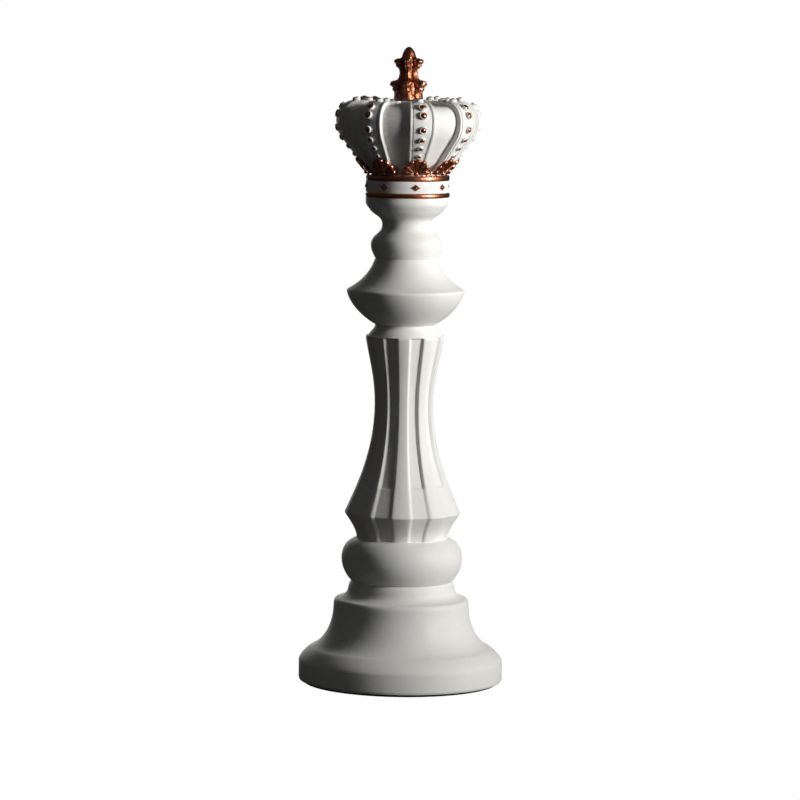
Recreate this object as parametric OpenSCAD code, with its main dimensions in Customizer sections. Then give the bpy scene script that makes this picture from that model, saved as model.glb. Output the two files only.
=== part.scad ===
// Ornamental chess queen: turned resin sections stacked on one steel tie rod,
// a ribbed crown with copper trims, and a copper finial that turns on a pin and lifts out.

/* [Plinth] */
// Diameter across the upright edge of the plinth
base_d = 130; // [127:0.5:132]
// Thickness of the felt under the plinth
pad_h = 1.2; // [0.8:0.1:1.6]
// Thickness of the closing plate in the underside
plate_h = 3.5; // [3:0.1:4]
// Number of screws through the closing plate
plate_screws_n = 6; // [4:1:8]

/* [Section heights] */
// Height of the seam between the plinth and the torus ring
plinth_top = 65.3; // [65:0.1:65.6]
// Height of the seam between the torus ring and the column
torus_top = 93; // [92.7:0.1:93.3]
// Height of the column's top rim
column_top = 222.3; // [222:0.1:222.6]
// Height of the seam between the collar and the neck
collar_top = 271.3; // [271:0.1:271.6]
// Height of the seam between the neck and the lower copper ring
neck_top = 310.3; // [310:0.1:310.6]

/* [Column] */
// Radius of the sharp ring low on the column
ring_r = 36.9; // [36:0.1:38]
// Radius of the waist
waist_r = 18.7; // [18.4:0.1:19.4]
// Number of flat recesses round the column
flute_count = 9; // [7:1:10]
// Angle that one recess takes up
flute_angle = 20; // [16:1:21]
// Depth of a recess above its step
flute_depth = 2.2; // [1.6:0.1:2.4]
// Depth of a recess below its step
flute_depth_low = 1.4; // [1:0.1:1.6]
// Height of the step in each recess
flute_step = 127; // [124:1:132]

/* [Crown] */
// Radius of the band and of the section ends that meet it
band_r = 26.2; // [25.8:0.1:26.4]
// Height of the white band
band_h = 7.5; // [7:0.1:8]
// Height of the copper ring under the band
low_ring_h = 3.1; // [2.8:0.1:3.4]
// Height of the copper ring over the band
high_ring_h = 3.4; // [3:0.1:3.8]
// Radius over the ribs at the shoulder
crown_r = 45.4; // [44.5:0.1:46]
// How far a rib stands off the cap
rib_proud = 3.5; // [3:0.1:3.8]
// Number of ribs
rib_count = 8; // [6:1:8]
// Angle that one rib takes up
rib_angle = 21; // [18:1:23]

/* [Copper trims] */
// Diameter of a stud's white rim at the shoulder
stud_d = 5; // [4:0.1:5.4]
// Width of a palmette leaf
leaf_w = 15.5; // [13:0.5:16]
// Thickness of a palmette leaf
leaf_t = 1.6; // [1.2:0.1:2]
// Width of a jewel on the band
jewel_w = 6; // [5:0.1:7]

/* [Finial] */
// Height of the whole piece, to the top of the bud
total_h = 405; // [403:0.5:407]
// Number of leaves in each whorl
whorl_leaves = 6; // [4:1:8]
// Reach of the lower whorl
whorl_low_r = 12.6; // [11:0.1:13]
// Reach of the upper whorl
whorl_high_r = 10.2; // [9:0.1:11]

/* [Fastening] */
// Diameter of the tie rod
rod_d = 10; // [8:0.5:10]
// Height of a section's spigot
spigot_h = 5; // [4:0.5:5]
// Diameter of the finial's pin
pin_d = 4.9; // [4.5:0.1:5]
// Radial gap round spigots and fasteners
gap = 0.1; // [0.05:0.01:0.15]

/* [Hidden] */
$fn = 96;

base_r = base_d / 2;
plate_top = pad_h + plate_h;
cavity_r = 51;
screw_ring_r = 55.5;
screw_r = 1.5;
screw_head_r = 3.2;
screw_len = 11;
deck_low = 56;
rod_r = rod_d / 2;
rod_bore = rod_r + 0.5;
rod_low = 42;
nut_h = 8;
nut_r = 9.8;
washer_h = 2;
washer_r = 10.5;

// spigot radii, from the plinth upwards
spigot_plinth = 20;
spigot_torus = 19;
spigot_column = 15;
spigot_collar = 14;
spigot_neck = 21.5;
spigot_band = 17.5;

band_low = neck_top + low_ring_h;
band_top = band_low + band_h;
cap_low = band_top + high_ring_h;
band_spigot_top = cap_low + 3.5;
rod_high = band_spigot_top + washer_h + nut_h + 3;

// the rib's outer line is straight up to the shoulder, then rounds over to a level top
rib_foot = [24.5, cap_low + 0.6];
rib_bend = [crown_r - 3.4, cap_low + 23.2];
shoulder_z = cap_low + 34.2;
crown_top = cap_low + 46.9;
rib_slope = (rib_bend - rib_foot) / norm(rib_bend - rib_foot);
rib_normal = [rib_slope[1], -rib_slope[0]];
cap_r = crown_r - rib_proud;
cap_bend = rib_bend - rib_proud * rib_normal;
cap_top = crown_top - 3;
boss_r = 11.5;
boss_top = crown_top - 0.2;
bush_r = 4;
bush_low = boss_top - 11.5;
finial_low = boss_top + 1;

// direction angles of the first recess and the first rib, measured from +X
flute_turn = -71.5;
rib_turn = -78;

// points of a cubic curve after its first point
function on_curve(a, b, c, d, t) =
    pow(1 - t, 3) * a + 3 * t * pow(1 - t, 2) * b + 3 * t * t * (1 - t) * c + pow(t, 3) * d;
function curve(a, b, c, d, n = 8) = [for (i = [1:n]) on_curve(a, b, c, d, i / n)];
function reversed(list) = [for (i = [len(list) - 1:-1:0]) list[i]];

function plinth_side() = concat(
    [[base_r - 1.6, pad_h], [base_r - 0.4, pad_h + 0.5], [base_r, pad_h + 1.7], [base_r, 13.8]],
    curve([base_r, 13.8], [base_r - 0.2, 16.5], [base_r - 5.4, 21.6], [base_r - 8, 22.8]),
    curve([base_r - 8, 22.8], [49, 26.5], [43.6, 36], [43.2, 49], 10),
    curve([43.2, 49], [43.2, 52.6], [42.6, 53.9], [40.5, 54.3], 4),
    curve([40.5, 54.3], [36.5, 55.5], [34.3, 57], [33.9, 61]),
    [[33.2, 63.4], [32, plinth_top]]);

function torus_side() = concat(
    [[32.2, plinth_top]],
    curve([32.2, plinth_top], [35, 68], [38.5, 73.5], [38.5, 79.5]),
    curve([38.5, 79.5], [38.5, 86], [35.5, 91], [29.6, torus_top - 0.4]),
    [[29.4, torus_top]]);

function column_side() = concat(
    [[29, torus_top]],
    curve([29, torus_top], [29.3, 98], [ring_r - 4.3, 102.5], [ring_r, 109]),
    curve([ring_r, 109.4], [ring_r - 6.4, 124], [waist_r, 147], [waist_r, 178], 14),
    curve([waist_r, 178], [waist_r, 195], [22.6, 207], [24.9, column_top - 1.3], 10),
    [[24.6, column_top]]);

function collar_side() = concat(
    [[23.4, column_top]],
    curve([23.4, column_top], [21.8, 225.5], [19, 226.5], [19, 229.3], 5),
    curve([19, 229.3], [25.5, 232.5], [35.7, 241.5], [37.4, 250.3], 10),
    [[37.2, 251.2], [36.6, 251.8]],
    curve([36.6, 251.8], [29, 256], [23, 261.5], [19.6, collar_top], 10));

function neck_side() = concat(
    [[19.6, collar_top]],
    curve([19.6, collar_top], [21, 274], [22.5, 276.5], [22.5, 279.7], 6),
    curve([22.5, 279.7], [22.5, 284.5], [19, 286], [16.6, 288.8], 6),
    curve([16.6, 288.8], [15.8, 289.8], [15.5, 291], [15.5, 292.5], 3),
    curve([15.5, 292.5], [15.5, 298], [20.5, 298], [23.5, 302.2], 7),
    curve([23.5, 302.2], [24.8, 304], [band_r, 305], [band_r, 307.5], 4),
    [[band_r - 0.1, neck_top]]);

shoulder_low = [rib_bend, [crown_r - 0.7, rib_bend[1] + 3.6], [crown_r, shoulder_z - 3.7],
                [crown_r, shoulder_z]];
shoulder_high = [[crown_r, shoulder_z], [crown_r, shoulder_z + 5.5], [crown_r - 3.4, crown_top - 0.6],
                 [crown_r - 11.4, crown_top]];
function along(c, n = 8) = curve(c[0], c[1], c[2], c[3], n);

function rib_side() = concat(
    [[rib_foot[0] - 0.7, cap_low + 0.1], rib_foot, rib_bend],
    along(shoulder_low), along(shoulder_high), [[boss_r + 0.5, crown_top - 0.2]]);

function cap_side() = concat(
    [[22, cap_low + 0.1], [22, cap_low + 3.5], cap_bend],
    curve(cap_bend, [cap_r - 0.9, cap_bend[1] + 3.2], [cap_r, shoulder_z - 3], [cap_r, shoulder_z]),
    curve([cap_r, shoulder_z], [cap_r, shoulder_z + 4.3], [cap_r - 2.4, cap_top - 0.7],
          [cap_r - 8, cap_top]),
    [[boss_r + 0.5, cap_top + 2]]);

module resin() color("#f1f0ec") children();
module copper() color("#b5694a") children();
module steel() color("#9aa0a6") children();

module turned(points) rotate_extrude() polygon(points);

module around(count, turn) for (k = [0:count - 1]) rotate([0, 0, turn + k * 360 / count]) children();

module felt_pad() color("#2f3330") cylinder(h = pad_h, r = base_r - 3);

module screw_places() for (k = [0:plate_screws_n - 1])
    rotate([0, 0, k * 360 / plate_screws_n]) translate([screw_ring_r, 0, 0]) children();

// closed above by a deck that the tie rod pulls against, open below for the ballast
module plinth() resin() difference() {
    turned(concat(plinth_side(),
        [[spigot_plinth, plinth_top], [spigot_plinth, plinth_top + spigot_h],
         [rod_bore, plinth_top + spigot_h], [rod_bore, deck_low], [29, deck_low], [36, 49],
         [37, 44], [41, 30], [cavity_r, 15], [cavity_r, plate_top],
         [base_r - 5, plate_top], [base_r - 5, pad_h]]));
    screw_places() cylinder(h = plate_top + screw_len - 2, r = screw_r, $fn = 24);
}

module base_plate() color("#4a4d50") difference() {
    translate([0, 0, pad_h]) cylinder(h = plate_h, r = base_r - 5 - gap);
    screw_places() {
        cylinder(h = plate_top + 1, r = screw_r + gap, $fn = 24);
        translate([0, 0, pad_h - 0.01])
            cylinder(h = 1.8, r1 = screw_head_r + gap, r2 = screw_r + gap, $fn = 24);
    }
}

module plate_screws() steel() screw_places() rotate_extrude($fn = 24)
    polygon([[0, pad_h], [screw_head_r, pad_h], [screw_r - 0.05, pad_h + 1.75],
             [screw_r - 0.05, pad_h + screw_len - 1.5], [0, pad_h + screw_len]]);

module ballast_ring() color("#3b3b3d") translate([0, 0, plate_top]) difference() {
    cylinder(h = 9.8, r = cavity_r - 1.5);
    translate([0, 0, -1]) cylinder(h = 12, r = 16);
}

// inner line of a section: its spigot on top, the tie rod's bore, and the socket underneath
function spigot_and_socket(top_r, top, low_r, low, rise = spigot_h) =
    [[top_r, top], [top_r, top + rise], [rod_bore, top + rise],
     [rod_bore, low + spigot_h + 0.3], [low_r + gap, low + spigot_h + 0.3], [low_r + gap, low]];

module torus_ring() resin() turned(concat(torus_side(),
    spigot_and_socket(spigot_torus, torus_top, spigot_plinth, plinth_top)));

// one flat-floored recess: a slab outside the floor line, kept between two radial planes
module recess() {
    side = column_side();
    rim = column_top - 0.9;
    low = [for (p = side) if (p[1] > torus_top && p[1] <= flute_step) [p[0] - flute_depth_low, p[1]]];
    high = [for (p = side) if (p[1] > flute_step && p[1] < rim) [p[0] - flute_depth, p[1]]];
    step_r = lookup(flute_step, [for (p = side) if (p[1] > 109.2) [p[1], p[0]]]);
    floor_line = concat([[side[0][0] - flute_depth_low, torus_top - 1]], low,
        [[step_r - flute_depth_low, flute_step - 0.2], [step_r - flute_depth, flute_step + 0.2]],
        high, [[24.7 - flute_depth, rim], [60, rim], [60, torus_top - 1]]);
    half = 60 * tan(flute_angle / 2);
    intersection() {
        rotate([90, 0, 0]) linear_extrude(height = 30, center = true) polygon(floor_line);
        translate([0, 0, torus_top - 2]) linear_extrude(height = 140)
            polygon([[0, 0], [60, -half], [60, half]]);
    }
}

module column() resin() difference() {
    turned(concat(column_side(),
        spigot_and_socket(spigot_column, column_top, spigot_torus, torus_top)));
    around(flute_count, flute_turn) recess();
}

module collar() resin() turned(concat(collar_side(),
    spigot_and_socket(spigot_collar, collar_top, spigot_column, column_top)));

module neck() resin() turned(concat(neck_side(),
    spigot_and_socket(spigot_neck, neck_top, spigot_collar, collar_top, low_ring_h + 3)));

module tie_rod() steel() translate([0, 0, rod_low]) cylinder(h = rod_high - rod_low, r = rod_r);

module washer_at(z) translate([0, 0, z]) difference() {
    cylinder(h = washer_h, r = washer_r);
    translate([0, 0, -1]) cylinder(h = washer_h + 2, r = rod_r + 0.25);
}

module nut_at(z) translate([0, 0, z]) difference() {
    cylinder(h = nut_h, r = nut_r, $fn = 6);
    translate([0, 0, -1]) cylinder(h = nut_h + 2, r = rod_r + 0.05);
}

module lower_washer() steel() washer_at(deck_low - washer_h);
module lower_nut() steel() nut_at(deck_low - washer_h - nut_h);
module upper_washer() steel() washer_at(band_spigot_top);
module upper_nut() steel() nut_at(band_spigot_top + washer_h);

// ring with a rounded outer face
module copper_ring(z, height, inner_r, swell) copper() turned(concat(
    [[inner_r, z], [band_r, z]],
    curve([band_r, z], [band_r + swell, z + 0.4], [band_r + swell, z + height - 0.4],
          [band_r, z + height], 6),
    [[inner_r, z + height]]));

module lower_copper_ring() copper_ring(neck_top, low_ring_h, spigot_neck + gap, 0.9);
module upper_copper_ring() copper_ring(band_top, high_ring_h, spigot_band + gap, 0.7);

module crown_band() resin() turned(
    [[band_r, band_low], [band_r, band_top], [spigot_band, band_top],
     [spigot_band, band_spigot_top], [rod_bore, band_spigot_top], [rod_bore, band_low + 3.3],
     [spigot_neck + gap, band_low + 3.3], [spigot_neck + gap, band_low]]);

module crown_cap() resin() turned(concat([[22, cap_low]], cap_side(),
    [[boss_r, cap_top + 2], [boss_r, boss_top], [bush_r + 0.05, boss_top],
     [bush_r + 0.05, bush_low - 1], [9, bush_low - 1], [9, cap_top - 4.5]],
    curve([9, cap_top - 4.5], [30, cap_top - 4.5], [cap_r - 4.4, cap_top - 4.5],
          [cap_r - 4.4, shoulder_z - 0.5]),
    [cap_bend + [-3.9, 0.6], [spigot_band + 0.9, cap_low + 5], [spigot_band + gap, cap_low + 3.8],
     [spigot_band + gap, cap_low]]));

module crown_ribs() resin() around(rib_count, rib_turn - rib_angle / 2)
    rotate_extrude(angle = rib_angle)
        polygon(concat(rib_side(), reversed(cap_side())));

// a stud's place on the rib: [radius, height] and the outward direction there
function straight_place(f) = [rib_foot + f * (rib_bend - rib_foot), rib_normal];
function bent(c, t) = on_curve(c[0], c[1], c[2], c[3], t);
function facing(a, b) = [(b - a)[1], (a - b)[0]] / norm(b - a);
function bent_place(c, t) = [bent(c, t), facing(bent(c, t - 0.1), bent(c, t + 0.1))];
stud_places = [
    straight_place(0.55), straight_place(0.77), bent_place(shoulder_low, 0.03),
    bent_place(shoulder_low, 0.6), bent_place(shoulder_high, 0.25), bent_place(shoulder_high, 0.55),
    [[crown_r - 12, crown_top], [0, 1]], [[25.4, crown_top - 0.08], [0, 1]]];

// puts a child of size $across on each stud's place, a glue line clear of the rib
module on_ribs() around(rib_count, rib_turn) for (i = [0:len(stud_places) - 1]) {
    place = stud_places[i];
    $across = stud_d * min(1, 0.6 + 0.1 * i);
    translate([place[0][0], 0, place[0][1]])
        rotate([0, atan2(place[1][0], place[1][1]), 0]) translate([0, 0, 0.12]) children();
}

// a third of the rim's diameter is left open on each side of the middle for the stone
module stud_rims() resin() on_ribs() rotate_extrude($fn = 48) polygon($across *
    [[0.34, 0], [0.5, 0], [0.5, 0.24], [0.45, 0.34], [0.38, 0.34], [0.34, 0.28]]);

// a stone with upright sides and a domed top, part of a ball
module rib_studs() copper() on_ribs() {
    stone_r = 0.34 * $across - 0.05;
    dome_h = 0.18 * $across;
    top = 0.42 * $across;
    ball_r = (stone_r * stone_r + dome_h * dome_h) / (2 * dome_h);
    rotate_extrude($fn = 48) intersection() {
        translate([0, top - ball_r]) circle(ball_r);
        square([stone_r, top]);
    }
}

// seven-lobed leaf outline, x across and y up from the leaf's foot
function leaf_reach(a) = 7.2 + 4.6 * pow(max(0, cos(a)), 1.5) + 0.8 * abs(cos(3.5 * a));
function leaf_outline() = [for (a = [-105:7.5:105])
    [leaf_reach(a) * sin(a) * leaf_w / 15.4, 1.9 + leaf_reach(a) * cos(a) * 0.74]];

// the leaf is cut from a cone that lies over the rib's foot
module palmettes() copper() around(rib_count, rib_turn) intersection() {
    inner = rib_foot + 0.12 * rib_normal;
    outer = rib_foot + (0.12 + leaf_t) * rib_normal;
    run = 22 * rib_slope;
    rotate([0, 0, -21]) rotate_extrude(angle = 42) polygon([inner, outer, outer + run, inner + run]);
    translate([0, 0, cap_low]) rotate([90, 0, 90]) linear_extrude(height = 60)
        polygon(leaf_outline());
}

// pair of curled ends joined by a bar, standing on the upper ring between two leaves
module scroll_trims() copper() around(rib_count, rib_turn + 180 / rib_count)
    translate([23.2, 0, cap_low + 0.95]) rotate([0, 90, 0]) {
        for (side = [-1, 1]) translate([0, side * 0.7, 0]) cylinder(h = 1.8, r = 0.85, $fn = 32);
        translate([0.2, -0.7, 0]) cube([0.6, 1.4, 1.5]);
    }

// pointed jewel, wider than it is tall, with four facets
module jewel() hull() {
    linear_extrude(height = 0.5)
        polygon([[-jewel_w / 2, 0], [0, -jewel_w / 3], [jewel_w / 2, 0], [0, jewel_w / 3]]);
    translate([0, 0, 1.5]) linear_extrude(height = 0.1)
        polygon([[-0.8, 0], [0, -0.5], [0.8, 0], [0, 0.5]]);
}

module band_jewels() copper() around(rib_count, rib_turn)
    translate([band_r + 0.1, 0, band_low + band_h / 2]) rotate([90, 0, 90]) jewel();

module finial_bush() color("#c9a24a") translate([0, 0, bush_low]) difference() {
    cylinder(h = boss_top - bush_low - 0.1, r = bush_r, $fn = 48);
    translate([0, 0, -1]) cylinder(h = 20, r = pin_d / 2 + 0.05, $fn = 48);
}

module finial_washer() copper() translate([0, 0, boss_top]) difference() {
    cylinder(h = finial_low - boss_top, r = 9);
    translate([0, 0, -1]) cylinder(h = 3, r = pin_d / 2 + 0.4, $fn = 48);
}

// a curled leaf's section in one whorl: z is the whorl's height, reach its outer radius
module whorl(z, reach, root) around(whorl_leaves, rib_turn - 15)
    rotate_extrude(angle = 30)
        polygon(concat([[root - 1.4, z - 5]],
            curve([root, z - 5], [root + 0.6, z - 2.5], [reach - 0.6, z - 2], [reach, z + 0.2], 5),
            curve([reach, z + 0.2], [reach, z + 2.2], [reach - 2.6, z + 2.2], [reach - 3, z + 0.6], 5),
            [[root - 0.2, z + 1.5], [root - 1.4, z + 1.5]]));

module finial() copper() {
    pin_bore = pin_d / 2 + 0.05;
    low = finial_low;
    difference() {
        union() {
            turned(concat([[0, low], [9.6, low], [9.4, low + 2]],
                curve([9.4, low + 2], [8.8, low + 7], [6.4, low + 10], [6.3, low + 15], 5),
                [[6.3, low + 18], [6, low + 24]],
                curve([6, low + 24], [5.9, low + 28], [3.4, total_h], [0, total_h], 7)));
            whorl(low + 9, whorl_low_r, 8.6);
            whorl(low + 23.5, whorl_high_r, 6.4);
        }
        translate([0, 0, low - 1]) cylinder(h = 14.5, r = pin_bore, $fn = 48);
    }
}

module finial_pin() steel() translate([0, 0, bush_low + 1])
    cylinder(h = 24.5, r = pin_d / 2, $fn = 48);

felt_pad();
plinth();
base_plate();
plate_screws();
ballast_ring();
torus_ring();
column();
collar();
neck();
tie_rod();
lower_washer();
lower_nut();
upper_washer();
upper_nut();
lower_copper_ring();
crown_band();
upper_copper_ring();
crown_cap();
crown_ribs();
stud_rims();
rib_studs();
palmettes();
scroll_trims();
band_jewels();
finial_bush();
finial_washer();
finial();
finial_pin();
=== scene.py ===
import math

import bmesh
import bpy
import numpy as np
from mathutils import Matrix, Vector


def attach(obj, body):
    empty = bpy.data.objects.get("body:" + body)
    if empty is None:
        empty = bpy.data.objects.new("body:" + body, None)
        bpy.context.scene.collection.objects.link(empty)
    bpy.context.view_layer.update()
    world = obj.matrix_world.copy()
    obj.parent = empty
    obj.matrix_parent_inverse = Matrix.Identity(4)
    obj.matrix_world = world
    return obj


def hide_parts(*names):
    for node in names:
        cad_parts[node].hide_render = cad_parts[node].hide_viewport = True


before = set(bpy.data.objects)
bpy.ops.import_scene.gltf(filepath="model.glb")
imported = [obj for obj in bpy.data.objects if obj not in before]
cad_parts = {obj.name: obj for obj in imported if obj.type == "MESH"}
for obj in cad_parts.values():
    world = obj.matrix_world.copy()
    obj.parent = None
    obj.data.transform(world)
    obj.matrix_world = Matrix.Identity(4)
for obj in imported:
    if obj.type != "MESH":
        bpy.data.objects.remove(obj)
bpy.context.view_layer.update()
mm = 0.001
turn = 2 * math.pi
weldDistance = 1e-6  # metres
sharpAngle = math.radians(50)


def linear(hexColour):
    # sRGB hex to the linear colour that a shader socket takes
    parts = [int(hexColour[i:i + 2], 16) / 255 for i in (1, 3, 5)]
    return tuple(c / 12.92 if c <= 0.04045 else ((c + 0.055) / 1.055) ** 2.4 for c in parts) + (1.0,)


def addNode(tree, kind, settings=None, links=None):
    # settings are the node's own or its sockets' values; in links a node stands for its first output
    node = tree.nodes.new(kind)
    for key, value in (settings or {}).items():
        if isinstance(key, str) and hasattr(node, key):
            setattr(node, key, value)
        else:
            node.inputs[key].default_value = value
    for key, source in (links or {}).items():
        tree.links.new(source if hasattr(source, "is_linked") else source.outputs[0], node.inputs[key])
    return node


def newMaterial(name):
    # an empty material, its node tree and the place on the piece in metres
    material = bpy.data.materials.new(name)
    material.use_nodes = True
    tree = material.node_tree
    tree.nodes.clear()
    return material, tree, addNode(tree, "ShaderNodeTexCoord").outputs["Object"]


def curved(a, b, c, d, count):
    # points of a cubic curve after its first point
    a, b, c, d = (Vector(p) for p in (a, b, c, d))
    places = [(i + 1) / count for i in range(count)]
    return [a * (1 - t) ** 3 + b * 3 * t * (1 - t) ** 2 + c * 3 * t * t * (1 - t) + d * t ** 3
            for t in places]


def chained(start, *bends):
    # start, then curves that each go on from the last point: two control points, an end and a count
    line = [Vector(start)]
    for bend in bends:
        line += curved(line[-1], *bend)
    return line


def softened(points, reach, least=0.3):
    # each corner sharper than least is rounded over that length
    points = [Vector(p) for p in points]
    out = [points[0]]
    for before, corner, after in zip(points, points[1:], points[2:]):
        a, b = corner - before, after - corner
        if a.length < 1e-6 or b.length < 1e-6:
            continue
        if a.angle(b) < least:
            out.append(corner)
            continue
        cut = min(reach, a.length * 0.45, b.length * 0.45)
        start, end = corner - a.normalized() * cut, corner + b.normalized() * cut
        out += [start * (1 - t) ** 2 + corner * 2 * t * (1 - t) + end * t * t
                for t in (0, 0.25, 0.5, 0.75, 1)]
    return out + [points[-1]]


def newObject(name, vertices, faces):
    mesh = bpy.data.meshes.new(name)
    mesh.from_pydata([Vector(v) * mm for v in vertices], [], faces)
    mesh.update()
    piece = bpy.data.objects.new(name, mesh)
    bpy.context.scene.collection.objects.link(piece)
    return piece


def spunMesh(name, rows, angles, looped, full):
    # rows hold one (radius, height) for each angle; a row at radius 0 becomes one pole point
    vertices, index = [], []
    for row in rows:
        if max(p[0] for p in row) < 1e-9:
            index.append([len(vertices)] * len(angles))
            vertices.append((0, 0, row[0][1]))
            continue
        index.append(list(range(len(vertices), len(vertices) + len(angles))))
        vertices += [(p[0] * math.cos(a), p[0] * math.sin(a), p[1]) for p, a in zip(row, angles)]
    faces = []
    steps = len(angles) if full else len(angles) - 1
    for i in range(len(rows) if looped else len(rows) - 1):
        low, high = index[i], index[(i + 1) % len(rows)]
        for j in range(steps):
            k = (j + 1) % len(angles)
            corners = [low[j], low[k], high[k], high[j]]
            faces.append([c for n, c in enumerate(corners) if c not in corners[:n]])
    return newObject(name, vertices, faces)


def turnedPiece(name, side, inside, steps=192, reach=0.4):
    # side runs up the outside and inside runs back down to where side starts
    line = softened(list(side) + list(inside) + [side[0]], reach)[:-1]
    angles = [turn * j / steps for j in range(steps)]
    return spunMesh(name, [[p] * steps for p in line], angles, True, True)


def spigotAndSocket(topR, top, rise, lowR, low, bore=5.5, gap=0.1, depth=5.3):
    return [(topR, top), (topR, top + rise), (bore, top + rise), (bore, low + depth),
            (lowR + gap, low + depth), (lowR + gap, low)]


def markRelief(piece, scale, passes):
    # relief is 0.5 on a flat face, towards 1 on an outer edge and towards 0 in a hollow;
    # scale sets how soon a bend counts in full, and each pass spreads it to the next points
    mesh = piece.data
    count = len(mesh.vertices)
    places, normals = np.zeros(count * 3, np.float32), np.zeros(count * 3, np.float32)
    edges = np.zeros(len(mesh.edges) * 2, np.int32)
    mesh.vertices.foreach_get("co", places)
    mesh.vertices.foreach_get("normal", normals)
    mesh.edges.foreach_get("vertices", edges)
    places, normals, edges = places.reshape(-1, 3) / mm, normals.reshape(-1, 3), edges.reshape(-1, 2)
    a, b = edges[:, 0], edges[:, 1]
    away = places[b] - places[a]
    length2 = np.maximum((away ** 2).sum(1), 1e-4)
    bend, weight = np.zeros(count), np.zeros(count)
    np.add.at(bend, a, (away * normals[a]).sum(1) / length2)
    np.add.at(bend, b, -(away * normals[b]).sum(1) / length2)
    np.add.at(weight, a, 1.0)
    np.add.at(weight, b, 1.0)
    bend /= np.maximum(weight, 1)
    for _ in range(passes):
        spread = bend.copy()
        np.add.at(spread, a, bend[b])
        np.add.at(spread, b, bend[a])
        bend = spread / (weight + 1)
    relief = mesh.attributes.new("relief", "FLOAT", "POINT")
    relief.data.foreach_set("value", (0.5 - 0.5 * np.tanh(bend * scale)).astype(np.float32))


def faceOutwards(piece):
    work = bmesh.new()
    work.from_mesh(piece.data)
    bmesh.ops.remove_doubles(work, verts=work.verts, dist=weldDistance)
    bmesh.ops.recalc_face_normals(work, faces=work.faces)
    work.to_mesh(piece.data)
    work.free()


def giveLook(piece, material):
    piece.data.materials.clear()
    piece.data.materials.append(material)


def finished(piece, material, node, body="body", relief=1.6, passes=2):
    markRelief(piece, relief, passes)
    piece.data.shade_smooth()
    piece.data.set_sharp_from_angle(angle=sharpAngle)
    giveLook(piece, material)
    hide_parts(node)
    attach(piece, body)
    return piece


def treeSockets(tree, inputs):
    for name, kind, value in inputs:
        socket = tree.interface.new_socket(name=name, in_out="INPUT", socket_type=kind)
        if value is not None:
            socket.default_value = value
    tree.interface.new_socket(name="Geometry", in_out="OUTPUT", socket_type="NodeSocketGeometry")


def ringTree():
    # copies one piece round the upright axis and welds neighbours that touch
    tree = bpy.data.node_groups.new("aroundTheAxis", "GeometryNodeTree")
    treeSockets(tree, [("Geometry", "NodeSocketGeometry", None), ("Count", "NodeSocketInt", 8),
                       ("First angle", "NodeSocketFloat", 0.0), ("Weld distance", "NodeSocketFloat", 0.0),
                       ("Material", "NodeSocketMaterial", None)])
    given = addNode(tree, "NodeGroupInput").outputs
    single = addNode(tree, "GeometryNodeGeometryToInstance", None, {0: given["Geometry"]})
    copies = addNode(tree, "GeometryNodeDuplicateElements", {"domain": "INSTANCE"},
                     {"Geometry": single, "Amount": given["Count"]})
    step = addNode(tree, "ShaderNodeMath", {"operation": "DIVIDE", 0: turn}, {1: given["Count"]})
    angle = addNode(tree, "ShaderNodeMath", {"operation": "MULTIPLY_ADD"},
                    {0: copies.outputs["Duplicate Index"], 1: step, 2: given["First angle"]})
    upright = addNode(tree, "ShaderNodeCombineXYZ", None, {"Z": angle})
    turned = addNode(tree, "GeometryNodeRotateInstances", {"Local Space": False},
                     {"Instances": copies.outputs["Geometry"], "Rotation": upright})
    real = addNode(tree, "GeometryNodeRealizeInstances", None, {0: turned})
    welded = addNode(tree, "GeometryNodeMergeByDistance", None,
                     {"Geometry": real, "Distance": given["Weld distance"]})
    painted = addNode(tree, "GeometryNodeSetMaterial", None,
                      {"Geometry": welded, "Material": given["Material"]})
    addNode(tree, "NodeGroupOutput", None, {0: painted})
    return tree


def studRowTree():
    # a stud on each point, leaning and sized by the point's own attributes
    tree = bpy.data.node_groups.new("studsAlongARib", "GeometryNodeTree")
    treeSockets(tree, [("Geometry", "NodeSocketGeometry", None), ("Stud", "NodeSocketObject", None),
                       ("Seed", "NodeSocketInt", 5), ("Material", "NodeSocketMaterial", None)])
    given = addNode(tree, "NodeGroupInput").outputs
    points = addNode(tree, "GeometryNodeMeshToPoints", None, {"Mesh": given["Geometry"]})
    stud = addNode(tree, "GeometryNodeObjectInfo", None, {"Object": given["Stud"]})
    lean = addNode(tree, "GeometryNodeInputNamedAttribute", {"data_type": "FLOAT", "Name": "lean"})
    size = addNode(tree, "GeometryNodeInputNamedAttribute", {"data_type": "FLOAT", "Name": "size"})
    spin = addNode(tree, "FunctionNodeRandomValue", {"data_type": "FLOAT", 2: 0.0, 3: turn},
                   {"Seed": given["Seed"]})
    tipped = addNode(tree, "ShaderNodeCombineXYZ", None, {"Y": lean})
    onto = addNode(tree, "GeometryNodeInstanceOnPoints", None,
                   {"Points": points, "Instance": stud.outputs["Geometry"],
                    "Rotation": tipped, "Scale": size})
    about = addNode(tree, "ShaderNodeCombineXYZ", None, {"Z": spin.outputs[1]})
    spun = addNode(tree, "GeometryNodeRotateInstances", {"Local Space": True},
                   {"Instances": onto, "Rotation": about})
    real = addNode(tree, "GeometryNodeRealizeInstances", None, {0: spun})
    painted = addNode(tree, "GeometryNodeSetMaterial", None,
                      {"Geometry": real, "Material": given["Material"]})
    addNode(tree, "NodeGroupOutput", None, {0: painted})
    return tree


def giveTree(piece, tree, values):
    modifier = piece.modifiers.new(tree.name, "NODES")
    modifier.node_group = tree
    for item in tree.interface.items_tree:
        if item.name in values and item.in_out == "INPUT":
            modifier[item.identifier] = values[item.name]


def asPlainMesh(piece):
    bpy.context.view_layer.update()
    seen = piece.evaluated_get(bpy.context.evaluated_depsgraph_get())
    mesh = bpy.data.meshes.new_from_object(seen)
    piece.modifiers.clear()
    piece.data = mesh
    mesh.name = piece.name


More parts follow.
